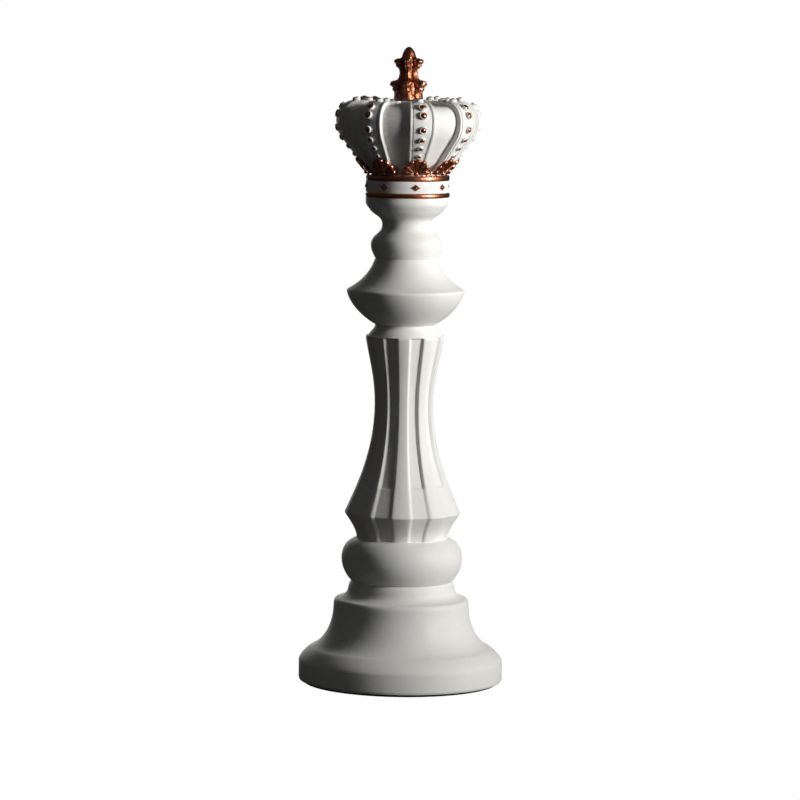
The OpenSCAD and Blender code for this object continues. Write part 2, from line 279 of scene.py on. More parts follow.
def setRound(piece, count, firstDegrees, look, weld=0.0):
    giveTree(piece, ring, {"Count": count, "First angle": math.radians(firstDegrees), "Weld distance": weld,
                           "Material": look})
    asPlainMesh(piece)


def castResin():
    # polyester casting resin filled with stone powder, under matt white paint: chalky, with faint swirls
    # from pouring, greyer in hollows as painted shade, lighter on edges as painted highlight
    material, tree, place = newMaterial("castResin")
    relief = addNode(tree, "ShaderNodeAttribute", {"attribute_name": "relief"}).outputs["Fac"]
    swirl = addNode(tree, "ShaderNodeTexNoise",
                    {"Scale": 42.0, "Detail": 4.0, "Roughness": 0.55, "Distortion": 0.9},
                    {"Vector": place})  # 24 mm pour marks
    powder = addNode(tree, "ShaderNodeTexNoise", {"Scale": 900.0, "Detail": 2.0}, {"Vector": place})
    # powder grains are 0.1 mm, drawn at 1.1 mm so that they show
    hollow = addNode(tree, "ShaderNodeMapRange", {1: 0.46, 2: 0.15, 3: 0.0, 4: 1.0}, {0: relief})
    edge = addNode(tree, "ShaderNodeMapRange", {1: 0.6, 2: 0.9, 3: 0.0, 4: 1.0}, {0: relief})
    body = addNode(tree, "ShaderNodeMix", {"data_type": "RGBA", 6: linear("#f3f2ee"), 7: linear("#e8e7e1")},
                   {0: swirl})
    grain = addNode(tree, "ShaderNodeMapRange", {1: 0.35, 2: 0.65, 3: 0.0, 4: 0.22}, {0: powder})
    grained = addNode(tree, "ShaderNodeMix", {"data_type": "RGBA", 7: linear("#dddcd5")},
                      {0: grain, 6: body.outputs[2]})
    # painted shade: the colour is greyed in hollows, where shade falls
    paintedShade = addNode(tree, "ShaderNodeMath", {"operation": "MULTIPLY", 1: 0.55}, {0: hollow})
    shadedResin = addNode(tree, "ShaderNodeMix", {"data_type": "RGBA", 7: linear("#b9b6aa")},
                    {0: paintedShade, 6: grained.outputs[2]})
    # painted highlight: the colour is lightened on outer edges, where light catches
    paintedHighlight = addNode(tree, "ShaderNodeMath", {"operation": "MULTIPLY", 1: 0.6}, {0: edge})
    highlightedResin = addNode(tree, "ShaderNodeMix", {"data_type": "RGBA", 7: linear("#fbfaf7")},
                     {0: paintedHighlight, 6: shadedResin.outputs[2]})
    roughBase = addNode(tree, "ShaderNodeMapRange", {1: 0.3, 2: 0.7, 3: 0.56, 4: 0.66}, {0: swirl})
    roughDust = addNode(tree, "ShaderNodeMath", {"operation": "MULTIPLY_ADD", 1: 0.2},
                        {0: hollow, 2: roughBase})
    rough = addNode(tree, "ShaderNodeMath", {"operation": "MULTIPLY_ADD", 1: -0.1}, {0: edge, 2: roughDust})
    ripple = addNode(tree, "ShaderNodeTexNoise", {"Scale": 95.0, "Detail": 2.0},
                     {"Vector": place})  # 10 mm waves
    wavy = addNode(tree, "ShaderNodeBump", {"Strength": 0.5, "Distance": 0.0003}, {"Height": ripple})
    fine = addNode(tree, "ShaderNodeBump", {"Strength": 0.25, "Distance": 0.00005},
                   {"Height": powder, "Normal": wavy})
    shader = addNode(tree, "ShaderNodeBsdfPrincipled", {"IOR": 1.46},
                     {"Base Color": highlightedResin.outputs[2], "Roughness": rough, "Normal": fine})
    addNode(tree, "ShaderNodeOutputMaterial", None, {"Surface": shader})
    return material


def copperPlate():
    # copper electroplated on cast relief, toned brown and lacquered: lighter on edges and crowns as painted
    # highlight, dark red-brown in patches of patina and in the hollows as painted shade, slightly lumpy
    # from the casting under the plate
    material, tree, place = newMaterial("copperPlate")
    relief = addNode(tree, "ShaderNodeAttribute", {"attribute_name": "relief"}).outputs["Fac"]
    cloud = addNode(tree, "ShaderNodeTexNoise",
                    {"Scale": 260.0, "Detail": 5.0, "Roughness": 0.6, "Distortion": 0.6},
                    {"Vector": place})  # 4 mm patches of patina
    spots = addNode(tree, "ShaderNodeTexNoise", {"Scale": 1300.0, "Detail": 3.0}, {"Vector": place})
    # painted shade: the colour darkens in hollows; the random cloud below is patina
    hollow = addNode(tree, "ShaderNodeMapRange", {1: 0.5, 2: 0.18, 3: 0.0, 4: 1.0}, {0: relief})
    patch = addNode(tree, "ShaderNodeMapRange", {1: 0.42, 2: 0.72, 3: 0.0, 4: 0.55}, {0: cloud})
    patinaAndShade = addNode(tree, "ShaderNodeMath", {"operation": "MAXIMUM"}, {0: hollow, 1: patch})
    # painted highlight: the colour is lightened on outer edges and crowns
    edge = addNode(tree, "ShaderNodeMapRange", {1: 0.58, 2: 0.85, 3: 0.0, 4: 1.0}, {0: relief})
    metal = addNode(tree, "ShaderNodeMix",
                    {"data_type": "RGBA", 6: linear("#b76d49"), 7: linear("#5e2b19")}, {0: patinaAndShade})
    highlightedCopper = addNode(tree, "ShaderNodeMix", {"data_type": "RGBA", 7: linear("#d9a284")},
                       {0: edge, 6: metal.outputs[2]})
    rough = addNode(tree, "ShaderNodeMapRange", {1: 0.0, 2: 1.0, 3: 0.34, 4: 0.54}, {0: patinaAndShade})
    lumps = addNode(tree, "ShaderNodeTexNoise", {"Scale": 620.0, "Detail": 1.5},
                    {"Vector": place})  # 1.6 mm lumps
    lumpy = addNode(tree, "ShaderNodeBump", {"Strength": 0.55, "Distance": 0.00022}, {"Height": lumps})
    fine = addNode(tree, "ShaderNodeBump", {"Strength": 0.25, "Distance": 0.00005},
                   {"Height": spots, "Normal": lumpy})
    shader = addNode(tree, "ShaderNodeBsdfPrincipled",
                     {"Metallic": 1.0, "Coat Weight": 0.8, "Coat Roughness": 0.14, "Coat IOR": 1.5},
                     {"Base Color": highlightedCopper.outputs[2], "Roughness": rough, "Normal": fine})
    addNode(tree, "ShaderNodeOutputMaterial", None, {"Surface": shader})
    return material


def turnedMetal(name, light, dark, roughLow, roughHigh):
    # bar metal cut on a lathe: fine rings round the upright axis and a little staining
    material, tree, place = newMaterial(name)
    stretched = addNode(tree, "ShaderNodeMapping", {"Scale": (60.0, 60.0, 2500.0)}, {"Vector": place})
    rings = addNode(tree, "ShaderNodeTexNoise", {"Scale": 1.0, "Detail": 3.0}, {"Vector": stretched})
    stain = addNode(tree, "ShaderNodeTexNoise", {"Scale": 180.0, "Detail": 4.0}, {"Vector": place})
    colour = addNode(tree, "ShaderNodeMix", {"data_type": "RGBA", 6: linear(light), 7: linear(dark)},
                     {0: stain})
    rough = addNode(tree, "ShaderNodeMapRange", {1: 0.3, 2: 0.7, 3: roughLow, 4: roughHigh}, {0: rings})
    bump = addNode(tree, "ShaderNodeBump", {"Strength": 0.3, "Distance": 0.00003}, {"Height": rings})
    shader = addNode(tree, "ShaderNodeBsdfPrincipled", {"Metallic": 1.0},
                     {"Base Color": colour.outputs[2], "Roughness": rough, "Normal": bump})
    addNode(tree, "ShaderNodeOutputMaterial", None, {"Surface": shader})
    return material


def greyIron():
    # sand-cast grey iron: pitted by the sand, nearly black, dull, with rust freckles
    material, tree, place = newMaterial("greyIron")
    sand = addNode(tree, "ShaderNodeTexNoise", {"Scale": 700.0, "Detail": 4.0},
                   {"Vector": place})  # 1.4 mm pits
    rust = addNode(tree, "ShaderNodeTexNoise", {"Scale": 150.0, "Detail": 5.0, "Roughness": 0.7},
                   {"Vector": place})
    freckle = addNode(tree, "ShaderNodeMapRange", {1: 0.56, 2: 0.68, 3: 0.0, 4: 0.8}, {0: rust})
    colour = addNode(tree, "ShaderNodeMix",
                     {"data_type": "RGBA", 6: linear("#4a4a4c"), 7: linear("#6b3a22")}, {0: freckle})
    bare = addNode(tree, "ShaderNodeMapRange", {1: 0.0, 2: 0.8, 3: 0.85, 4: 0.1}, {0: freckle})
    bump = addNode(tree, "ShaderNodeBump", {"Strength": 0.6, "Distance": 0.0003}, {"Height": sand})
    shader = addNode(tree, "ShaderNodeBsdfPrincipled", {"Roughness": 0.62},
                     {"Base Color": colour.outputs[2], "Metallic": bare, "Normal": bump})
    addNode(tree, "ShaderNodeOutputMaterial", None, {"Surface": shader})
    return material


def mouldedBoard():
    # injection-moulded black polypropylene plate with a spark-eroded grain
    material, tree, place = newMaterial("mouldedBoard")
    grain = addNode(tree, "ShaderNodeTexVoronoi", {"Scale": 1100.0}, {"Vector": place})  # 0.9 mm grain
    scuff = addNode(tree, "ShaderNodeTexNoise", {"Scale": 90.0, "Detail": 5.0}, {"Vector": place})
    colour = addNode(tree, "ShaderNodeMix",
                     {"data_type": "RGBA", 6: linear("#232426"), 7: linear("#3a3b3e")}, {0: scuff})
    rough = addNode(tree, "ShaderNodeMapRange", {1: 0.3, 2: 0.7, 3: 0.5, 4: 0.68}, {0: scuff})
    bump = addNode(tree, "ShaderNodeBump", {"Strength": 0.35, "Distance": 0.0001}, {"Height": grain})
    shader = addNode(tree, "ShaderNodeBsdfPrincipled", {"IOR": 1.49},
                     {"Base Color": colour.outputs[2], "Roughness": rough, "Normal": bump})
    addNode(tree, "ShaderNodeOutputMaterial", None, {"Surface": shader})
    return material


def pressedFelt():
    # pressed wool felt: matt, tangled short fibres with paler lint on a dark green-black ground
    material, tree, place = newMaterial("pressedFelt")
    tangled = addNode(tree, "ShaderNodeMapping", {"Scale": (1.0, 1.0, 0.4)}, {"Vector": place})
    fibres = addNode(tree, "ShaderNodeTexNoise",
                     {"Scale": 1500.0, "Detail": 5.0, "Roughness": 0.75, "Distortion": 2.5},
                     {"Vector": tangled})  # 0.7 mm tufts
    lint = addNode(tree, "ShaderNodeTexNoise", {"Scale": 420.0, "Detail": 6.0, "Distortion": 3.0},
                   {"Vector": place})
    tuft = addNode(tree, "ShaderNodeMix", {"data_type": "RGBA", 6: linear("#171a18"), 7: linear("#3b403b")},
                   {0: fibres})
    stray = addNode(tree, "ShaderNodeMapRange", {1: 0.62, 2: 0.74, 3: 0.0, 4: 0.45}, {0: lint})
    colour = addNode(tree, "ShaderNodeMix", {"data_type": "RGBA", 7: linear("#6e736b")},
                     {0: stray, 6: tuft.outputs[2]})
    bump = addNode(tree, "ShaderNodeBump", {"Strength": 0.9, "Distance": 0.0003}, {"Height": fibres})
    shader = addNode(tree, "ShaderNodeBsdfPrincipled",
                     {"Roughness": 0.95, "IOR": 1.4, "Sheen Weight": 0.45, "Sheen Roughness": 0.5},
                     {"Base Color": colour.outputs[2], "Normal": bump})
    addNode(tree, "ShaderNodeOutputMaterial", None, {"Surface": shader})
    return material


# in every material: Map Range reads sockets 1 to 2 and gives 3 to 4, and Mix has its share on 0 and
# its colours on 6 and 7
resin = castResin()
copper = copperPlate()
felt = pressedFelt()
zincSteel = turnedMetal("zincPlatedSteel", "#c3c7cb", "#8f959a", 0.28, 0.42)
brass = turnedMetal("turnedBrass", "#d8b25e", "#a5803a", 0.22, 0.36)
for nodeName, look in {"base_plate": mouldedBoard(), "ballast_ring": greyIron(), "plate_screws": zincSteel,
                       "tie_rod": zincSteel, "lower_washer": zincSteel, "lower_nut": zincSteel,
                       "upper_washer": zincSteel, "upper_nut": zincSteel, "finial_pin": zincSteel,
                       "finial_bush": brass, "finial_washer": copper}.items():
    giveLook(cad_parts[nodeName], look)
print("materials ready")

ring = ringTree()
studRow = studRowTree()

plinthValues = {"radius": 65.0, "low": 1.2, "top": 65.3, "cavity": 51.0, "deck": 56.0, "spigot": 20.0,
                "spigotRise": 5.0, "bore": 5.5, "plateRim": 60.0, "plateTop": 4.7}


def plinthSide(v):
    r = v["radius"]
    edge = [(r - 5, v["low"]), (r - 1.6, v["low"]), (r - 0.4, v["low"] + 0.5), (r, v["low"] + 1.7)]
    edge += chained((r, 13.8), ((r - 0.2, 16.5), (r - 5.4, 21.6), (r - 8, 22.8), 16))
    rise = chained((r - 8, 22.8), ((49, 26.5), (43.6, 36), (43.2, 49), 26),
                   ((43.2, 52.6), (42.6, 53.9), (40.5, 54.3), 10),
                   ((36.5, 55.5), (34.3, 57), (33.9, 61), 14))
    return softened(edge, 0.3) + rise[1:] + [(33.2, 63.4), (32, v["top"])]


def makePlinth(v):
    inside = [(v["spigot"], v["top"]), (v["spigot"], v["top"] + v["spigotRise"]),
              (v["bore"], v["top"] + v["spigotRise"]), (v["bore"], v["deck"]), (29, v["deck"]),
              (36, 49), (37, 44), (41, 30), (v["cavity"], 15), (v["cavity"], v["plateTop"]),
              (v["plateRim"], v["plateTop"])]
    piece = turnedPiece("plinthCasting", plinthSide(v), inside, reach=0.5)
    return finished(piece, resin, "plinth")


feltValues = {"radius": 62.0, "thick": 1.2, "crushed": 0.35, "fray": 0.12, "rings": (20, 40, 56),
              "steps": 360}


def makeFelt(v):
    # die-cut disc whose rim is slightly crushed and frayed
    rim = softened([(0, 0), (v["radius"], 0), (v["radius"], v["thick"]), (0, v["thick"])], v["crushed"])
    under = [Vector((r, 0)) for r in v["rings"]]
    over = [Vector((r, v["thick"])) for r in v["rings"][::-1]]
    angles = [turn * j / v["steps"] for j in range(v["steps"])]
    rows = []
    for p in rim[:1] + under + rim[1:-1] + over + rim[-1:]:
        fray = v["fray"] * (p.x > v["rings"][-1])
        waves = [fray * (math.sin(37 * a + p.y) + 0.6 * math.sin(91 * a + 2 * p.y)) for a in angles]
        rows.append([(p.x - abs(w), p.y) for w in waves])
    piece = spunMesh("feltPad", rows, angles, False, True)
    finished(piece, felt, "felt_pad", relief=1.0)
    return piece


makePlinth(plinthValues)
makeFelt(feltValues)
print("plinth and felt made")


def castSection(name, node, side, v):
    # a turned section with a spigot on top, a socket underneath and a bore for the rod
    inside = spigotAndSocket(v["spigot"], v["top"], v["spigotRise"], v["socket"], v["low"])
    return finished(turnedPiece(name, side, inside), resin, node)


torusValues = {"low": 65.3, "top": 93.0, "spigot": 19.0, "spigotRise": 5.0, "socket": 20.0}


def makeTorus(v):
    side = chained((32.2, v["low"]), ((35, 68), (38.5, 73.5), (38.5, 79.5), 24),
                   ((38.5, 86), (35.5, 91), (29.6, v["top"] - 0.4), 26))
    return castSection("torusRing", "torus_ring", side + [(29.4, v["top"])], v)


collarValues = {"low": 222.3, "top": 271.3, "spigot": 14.0, "spigotRise": 5.0, "socket": 15.0}


def makeCollar(v):
    side = chained((23.4, v["low"]), ((21.8, 225.5), (19, 226.5), (19, 229.3), 12),
                   ((25.5, 232.5), (35.7, 241.5), (37.4, 250.3), 30))
    side += [(37.2, 251.2)] + chained((36.6, 251.8), ((29, 256), (23, 261.5), (19.6, v["top"]), 28))
    return castSection("collarCasting", "collar", side, v)


neckValues = {"low": 271.3, "top": 310.3, "spigot": 21.5, "spigotRise": 6.1, "socket": 14.0}


def makeNeck(v):
    side = chained((19.6, v["low"]), ((21, 274), (22.5, 276.5), (22.5, 279.7), 16),
                   ((22.5, 284.5), (19, 286), (16.6, 288.8), 18),
                   ((15.8, 289.8), (15.5, 291), (15.5, 292.5), 8),
                   ((15.5, 298), (20.5, 298), (23.5, 302.2), 20),
                   ((24.8, 304), (26.2, 305), (26.2, 307.5), 10))
    return castSection("neckCasting", "neck", side + [(26.1, v["top"])], v)


makeTorus(torusValues)
makeCollar(collarValues)
makeNeck(neckValues)
print("torus ring, collar and neck made")

# the column is meshed one recess wide and then set round the axis; outerHalf and floorHalf are degrees
columnValues = {"low": 93.0, "top": 222.3, "ring": 36.9, "waist": 18.7, "recesses": 9, "firstRecess": -71.5,
                "outerHalf": 11.1, "floorHalf": 7.8, "depth": 2.2, "depthLow": 1.4, "step": 127.0,
                "stepHalf": 0.35, "recessTop": 222.0, "wallRound": 0.06, "spigot": 15.0, "spigotRise": 5.0,
                "socket": 19.0}


def columnRadius(v):
    r, waist = v["ring"], v["waist"]
    undercut = chained((29, v["low"]), ((29.3, 98), (r - 4.3, 102.5), (r, 109), 18))
    stave = chained((r, 109.4), ((r - 6.4, 124), (waist, 147), (waist, 178), 44),
                    ((waist, 195), (22.6, 207), (24.9, 221), 28))
    return softened(undercut + stave[1:] + [(24.6, v["top"])], 0.45)


def recessDepth(v, z):
    if z > v["recessTop"]:
        return 0.0
    rise = min(1.0, max(0.0, (z - v["step"] + v["stepHalf"]) / (2 * v["stepHalf"])))
    return v["depthLow"] + (v["depth"] - v["depthLow"]) * rise


def makeColumn(v):
    side = columnRadius(v)
    known = np.array([[p.y, p.x] for p in side])
    nearStep = [v["step"] + d for d in (-v["stepHalf"], -0.1, 0.1, v["stepHalf"])]
    nearTop = [v["recessTop"] + d for d in (-0.02, 0.12)]
    heights = sorted(set(known[:, 0].tolist() + nearStep + nearTop))
    outer, floor, edge = v["outerHalf"], v["floorHalf"], 180 / v["recesses"]
    half = [0, 1.4, 2.8, 4.2, 5.6, floor - 0.5, floor, floor + 0.4]  # degrees from the recess's middle
    half += [(floor + outer) / 2, outer - 0.5, outer, outer + 0.45, 13.4, 15.1, 16.8, 18.4, edge]
    degrees = [-d for d in half[:0:-1]] + half
    angles = [math.radians(d) for d in degrees]
    rows = []
    for z in heights:
        r = float(np.interp(z, known[:, 0], known[:, 1]))
        depth = recessDepth(v, z)
        row = []
        for d in degrees:
            flat = (r - depth) / math.cos(math.radians(min(abs(d), floor)))
            share = min(1.0, max(0.0, (abs(d) - floor) / (outer - floor)))
            onCorner = abs(abs(d) - outer) < 0.1  # where the wall meets the stave
            row.append((min(r, flat + (r - flat) * share) - v["wallRound"] * depth * onCorner, z))
        rows.append(row)
    inside = spigotAndSocket(v["spigot"], v["top"], v["spigotRise"], v["socket"], v["low"])
    rows += [[p] * len(angles) for p in inside]
    piece = spunMesh("flutedColumn", rows, angles, True, False)
    setRound(piece, v["recesses"], v["firstRecess"], resin, weldDistance)
    return finished(piece, resin, "column", relief=0.8, passes=1)


makeColumn(columnValues)
print("column made")

bandValues = {"radius": 26.2, "lowRing": 310.3, "low": 313.4, "top": 320.9, "cap": 324.3, "swellLow": 0.9,
              "swellHigh": 0.7, "socket": 21.6, "spigot": 17.5, "bore": 5.5}


def copperRing(name, node, low, high, radius, swell, inner):
    height = high - low
    out = radius + swell
    side = chained((radius - 0.05, low),
                   ((radius + swell * 0.9, low + 0.1), (out, low + height * 0.25),
                    (out, low + height * 0.45), 9),
                   ((out, low + height * 0.8), (radius + swell * 0.7, high - 0.1),
                    (radius - 0.05, high), 9))
    piece = turnedPiece(name, side, [(inner, high), (inner, low)], reach=0.15)
    return finished(piece, copper, node, relief=0.9)


def makeBand(v):
    r, socket, spigot = v["radius"], v["socket"], v["spigot"]
    copperRing("lowerCopperRing", "lower_copper_ring", v["lowRing"], v["low"], r, v["swellLow"], socket)
    copperRing("upperCopperRing", "upper_copper_ring", v["top"], v["cap"], r, v["swellHigh"], spigot + 0.1)
    side = [(r, v["low"]), (r, v["low"] + 3.7), (r, v["top"])]
    inside = [(spigot, v["top"]), (spigot, v["cap"] + 3.5), (v["bore"], v["cap"] + 3.5),
              (v["bore"], v["low"] + 3.3), (socket, v["low"] + 3.3), (socket, v["low"])]
    piece = turnedPiece("crownBand", side, inside, reach=0.2)
    return finished(piece, resin, "crown_band")


jewelValues = {"width": 6.2, "height": 4.2, "proud": 1.5, "sunk": 0.4, "bevel": 0.08, "count": 8,
               "first": -78.0, "radius": 26.0, "middle": 317.15}


def makeJewels(v):
    # a lozenge frame with a pointed cut stone inside it, all plated
    shape = [(1, 0), (0, 1), (-1, 0), (0, -1)]
    w, h = v["width"] / 2, v["height"] / 2
    levels = [(1.0, -v["sunk"]), (1.0, 0.5), (0.93, 0.72), (0.78, 0.72), (0.7, 0.4), (0.64, 0.42),
              (0.16, v["proud"] - 0.08)]
    vertices, faces = [], []
    for scale, out in levels:
        for x, y in shape:
            sag = (x * w * scale) ** 2 / (2 * v["radius"])
            vertices.append((v["radius"] + out - sag, x * w * scale, v["middle"] + y * h * scale))
    vertices.append((v["radius"] + v["proud"], 0, v["middle"]))
    vertices.append((v["radius"] - v["sunk"], 0, v["middle"]))
    for i in range(len(levels) - 1):
        faces += [[4 * i + j, 4 * i + (j + 1) % 4, 4 * i + 4 + (j + 1) % 4,
                   4 * i + 4 + j] for j in range(4)]
    last = 4 * (len(levels) - 1)
    faces += [[last + j, last + (j + 1) % 4, len(vertices) - 2] for j in range(4)]
    faces += [[(j + 1) % 4, j, len(vertices) - 1] for j in range(4)]
    piece = newObject("bandJewels", vertices, faces)
    faceOutwards(piece)
    bevel = piece.modifiers.new("edges", "BEVEL")
    bevel.width, bevel.segments = v["bevel"] * mm, 2
    bevel.limit_method, bevel.angle_limit = "ANGLE", math.radians(20)
    setRound(piece, v["count"], v["first"], copper)
    return finished(piece, copper, "band_jewels", relief=0.35, passes=1)


makeBand(bandValues)
makeJewels(jewelValues)
print("band made")

crownValues = {"radius": 45.4, "low": 324.3, "proud": 3.5, "ribs": 8, "firstRib": -78.0, "ribHalf": 10.5,
               "rim": 1.45, "groove": 1.2, "grooveDepth": 0.95, "boss": 11.5, "bush": 4.05,
               "bushDepth": 12.5}
capLow, crownR = crownValues["low"], crownValues["radius"]
shoulder, crownTop = capLow + 34.2, capLow + 46.9
# a rib's outer line is straight from its foot to the bend, then rounds over the shoulder to a level top
ribFoot, ribBend = Vector((24.5, capLow + 0.6)), Vector((crownR - 3.4, capLow + 23.2))
slope = (ribBend - ribFoot).normalized()
outward = Vector((slope.y, -slope.x))
shoulderLow = (ribBend, (crownR - 0.7, ribBend.y + 3.6), (crownR, shoulder - 3.7), (crownR, shoulder))
shoulderHigh = ((crownR, shoulder), (crownR, shoulder + 5.5), (crownR - 3.4, crownTop - 0.6),
                (crownR - 11.4, crownTop))


def ribLine(v):
    straight = [ribFoot.lerp(ribBend, i / 14) for i in range(15)]
    inner = Vector((v["boss"] + 0.4, crownTop - 0.2))
    level = [Vector(shoulderHigh[3]).lerp(inner, i / 14) for i in range(1, 15)]
    return straight + curved(*shoulderLow, 16) + curved(*shoulderHigh, 24) + level


def lineNormals(line):
    normals = []
    for i in range(len(line)):
        along = (line[min(i + 1, len(line) - 1)] - line[max(i - 1, 0)]).normalized()
        normals.append(Vector((along.y, -along.x)))
    return normals


def makeCap(v):
    r = v["radius"] - v["proud"]
    bend = ribBend - outward * v["proud"]
    top = crownTop - 3
    foot = Vector((22, v["low"] + 3.5))
    side = [(22, v["low"])] + [foot.lerp(bend, i / 12) for i in range(12)]
    side += chained(bend, ((r - 0.9, bend.y + 3.2), (r, shoulder - 3), (r, shoulder), 14),
                    ((r, shoulder + 4.3), (r - 2.4, top - 0.7), (r - 8, top), 22),
                    ((24, top + 0.4), (16, top + 1.4), (v["boss"] + 0.5, top + 2), 14))
    side += [(v["boss"], top + 2), (v["boss"], crownTop - 0.2)]
    bush = crownTop - 0.2 - v["bushDepth"]
    inside = [(v["bush"], crownTop - 0.2), (v["bush"], bush), (9, bush), (9, top - 4.5)]
    inside += curved((9, top - 4.5), (30, top - 4.5), (r - 4.4, top - 4.5), (r - 4.4, shoulder - 0.5), 12)
    inside += [bend + Vector((-3.9, 0.6)), (18.4, v["low"] + 5), (17.6, v["low"] + 3.8), (17.6, v["low"])]
    piece = turnedPiece("crownCap", side, inside, reach=0.3)
    return finished(piece, resin, "crown_cap")


def ribSection(v, half):
    # (distance in from the rib's edge, height over its outer line)
    fit = min(1.0, half / 4.6)
    rim, groove, depth = v["rim"] * fit, v["groove"] * fit, v["grooveDepth"]
    edge = [(0, -v["proud"] - 0.6), (0, -1.6), (0, -0.5), (0.08, -0.2), (0.3 * fit, -0.03), (0.5 * fit, 0),
            (rim - 0.3 * fit, 0), (rim - 0.1 * fit, -0.08), (rim + 0.05 * fit, -depth * 0.75),
            (rim + groove * 0.35, -depth), (rim + groove * 0.65, -depth),
            (rim + groove * 0.9, -depth * 0.6), (rim + groove, -0.22)]
    inner = rim + groove
    band = [(inner + (half - inner) * t, -0.22 + 0.2 * math.sin(t * math.pi / 2))
            for t in (0.12, 0.3, 0.55, 0.8, 1)]
    return edge + band


def makeRibs(v):
    line = ribLine(v)
    vertices, width = [], 0
    for p, n in zip(line, lineNormals(line)):
        half = p.x * math.radians(v["ribHalf"])
        left = [(half - inset, height) for inset, height in ribSection(v, half)]
        section = [(-x, h) for x, h in left] + [(x, h) for x, h in left[-2::-1]]
        width = len(section)
        for x, h in section:
            q, a = p + n * h, x / p.x
            vertices.append((q.x * math.cos(a), q.x * math.sin(a), q.y))
    faces = []
    for i in range(len(line) - 1):
        for j in range(width):
            k = (j + 1) % width
            faces.append([i * width + j, i * width + k, (i + 1) * width + k, (i + 1) * width + j])
    faces.append(list(range(width))[::-1])
    faces.append([(len(line) - 1) * width + j for j in range(width)])
    piece = newObject("crownRibs", vertices, faces)
    faceOutwards(piece)
    setRound(piece, v["ribs"], v["firstRib"], resin)
    return finished(piece, resin, "crown_ribs", relief=0.55, passes=1)


# the stone's and the rim's sizes are shares of the diameter
studValues = {"diameter": 5.0, "segments": 28, "sizes": (0.6, 0.7, 0.8, 0.9, 1, 1, 1, 1), "stone": 0.375,
              "hollow": 0.38, "rimHigh": 0.33, "stoneHigh": 0.45}


def studRows(v, crown):
    # one point for each stud of a rib, with the rib's outward direction and the stud's size there
    places = [ribFoot.lerp(ribBend, 0.55), ribFoot.lerp(ribBend, 0.77)]
    directions = [outward, outward]
    for line, t in ((shoulderLow, 0.03), (shoulderLow, 0.6), (shoulderHigh, 0.25), (shoulderHigh, 0.55)):
        near = curved(*line, 100)
        at = min(max(round(t * 100) - 1, 1), 98)
        along = (near[at + 1] - near[at - 1]).normalized()
        places.append(near[at])
        directions.append(Vector((along.y, -along.x)))
    places += [Vector((crown["radius"] - 12, crownTop)), Vector((25.4, crownTop - 0.08))]
    directions += [Vector((0, 1)), Vector((0, 1))]
    row = newObject("studRow", [(p.x, 0, p.y) for p in places], [])
    lean = row.data.attributes.new("lean", "FLOAT", "POINT")
    size = row.data.attributes.new("size", "FLOAT", "POINT")
    for i, d in enumerate(directions):
        lean.data[i].value = math.atan2(d.x, d.y)
        size.data[i].value = v["sizes"][i]
    return row


def placeStuds(name, node, profile, looped, look, v, crown):
    angles = [turn * j / v["segments"] for j in range(v["segments"])]
    line = [(r * v["diameter"], z * v["diameter"]) for r, z in profile]
    shape = spunMesh("studShape", [[p] * len(angles) for p in line], angles, looped, True)
    row = studRows(v, crown)
    row.name = name
    giveTree(row, studRow, {"Stud": shape, "Material": look})
    setRound(row, crown["ribs"], crown["firstRib"], look)
    bpy.data.objects.remove(shape)
    return finished(row, look, node, relief=0.6, passes=1)


def makeStuds(v, crown):
    inner, high = v["hollow"], v["rimHigh"]
    rim = [(inner, -0.06), (0.5, -0.06), (0.5, high * 0.5), (0.492, high * 0.7), (0.465, high * 0.9),
           (0.44, high), (0.415, high * 0.97), (0.393, high * 0.85), (inner, high * 0.65)]
    placeStuds("studRims", "stud_rims", rim, True, resin, v, crown)
    stone, top, wall = v["stone"], v["stoneHigh"], high * 0.66
    dome = [(0, 0.03), (stone, 0.03), (stone, wall)]
    dome += [(stone * math.cos(a), wall + (top - wall) * math.sin(a)) for a in (0.25, 0.5, 0.8, 1.1, 1.35)]
    placeStuds("ribStones", "rib_studs", dome + [(0, top)], False, copper, v, crown)


makeCap(crownValues)
makeRibs(crownValues)
makeStuds(studValues, crownValues)
print("crown made")

leafValues = {"lobes": 7, "spread": 98.0, "width": 15.5, "tip": 11.6, "foot": 1.9, "rise": 1.15,
              "base": 0.5, "across": 112, "out": 18, "scallop": 0.16}


def leafPoint(v, u, t):
    # u runs over the fan from -1 to 1, t from the foot's middle to the leaf's edge
    angle = math.radians(v["spread"]) * u
    phase = (u * 0.5 + 0.5) * v["lobes"]
    crest = abs(math.sin(math.pi * phase))  # 1 along the middle of a lobe, 0 in the valley between two
    side = v["width"] / 2
    reach = side + (v["tip"] - side) * max(0.0, math.cos(angle)) ** 1.6
    reach *= 1 - v["scallop"] * (1 - crest ** 0.6)
    x, s = reach * t * math.sin(angle), v["foot"] + reach * t * math.cos(angle)
    height = v["base"] + v["rise"] * crest ** 0.5 * min(1.0, t / 0.35) * (1 - 0.15 * t)
    height -= 0.22 * max(0.0, 1 - (1 - crest) / 0.035) * min(1.0, t / 0.5)  # a vein down each lobe
    height += 0.5 * t ** 3  # the tips curl away from the rib
    if t > 0.9:
        height -= (0.35 + 0.4 * crest) * ((t - 0.9) / 0.1) ** 2
    return x, s, height


def onRibCone(x, s, height):
    # s runs up the rib's straight line from its foot, x round the axis, height away from the rib
    p = ribFoot + slope * s + outward * height
    a = x / max(p.x, 1)
    return p.x * math.cos(a), p.x * math.sin(a), p.y


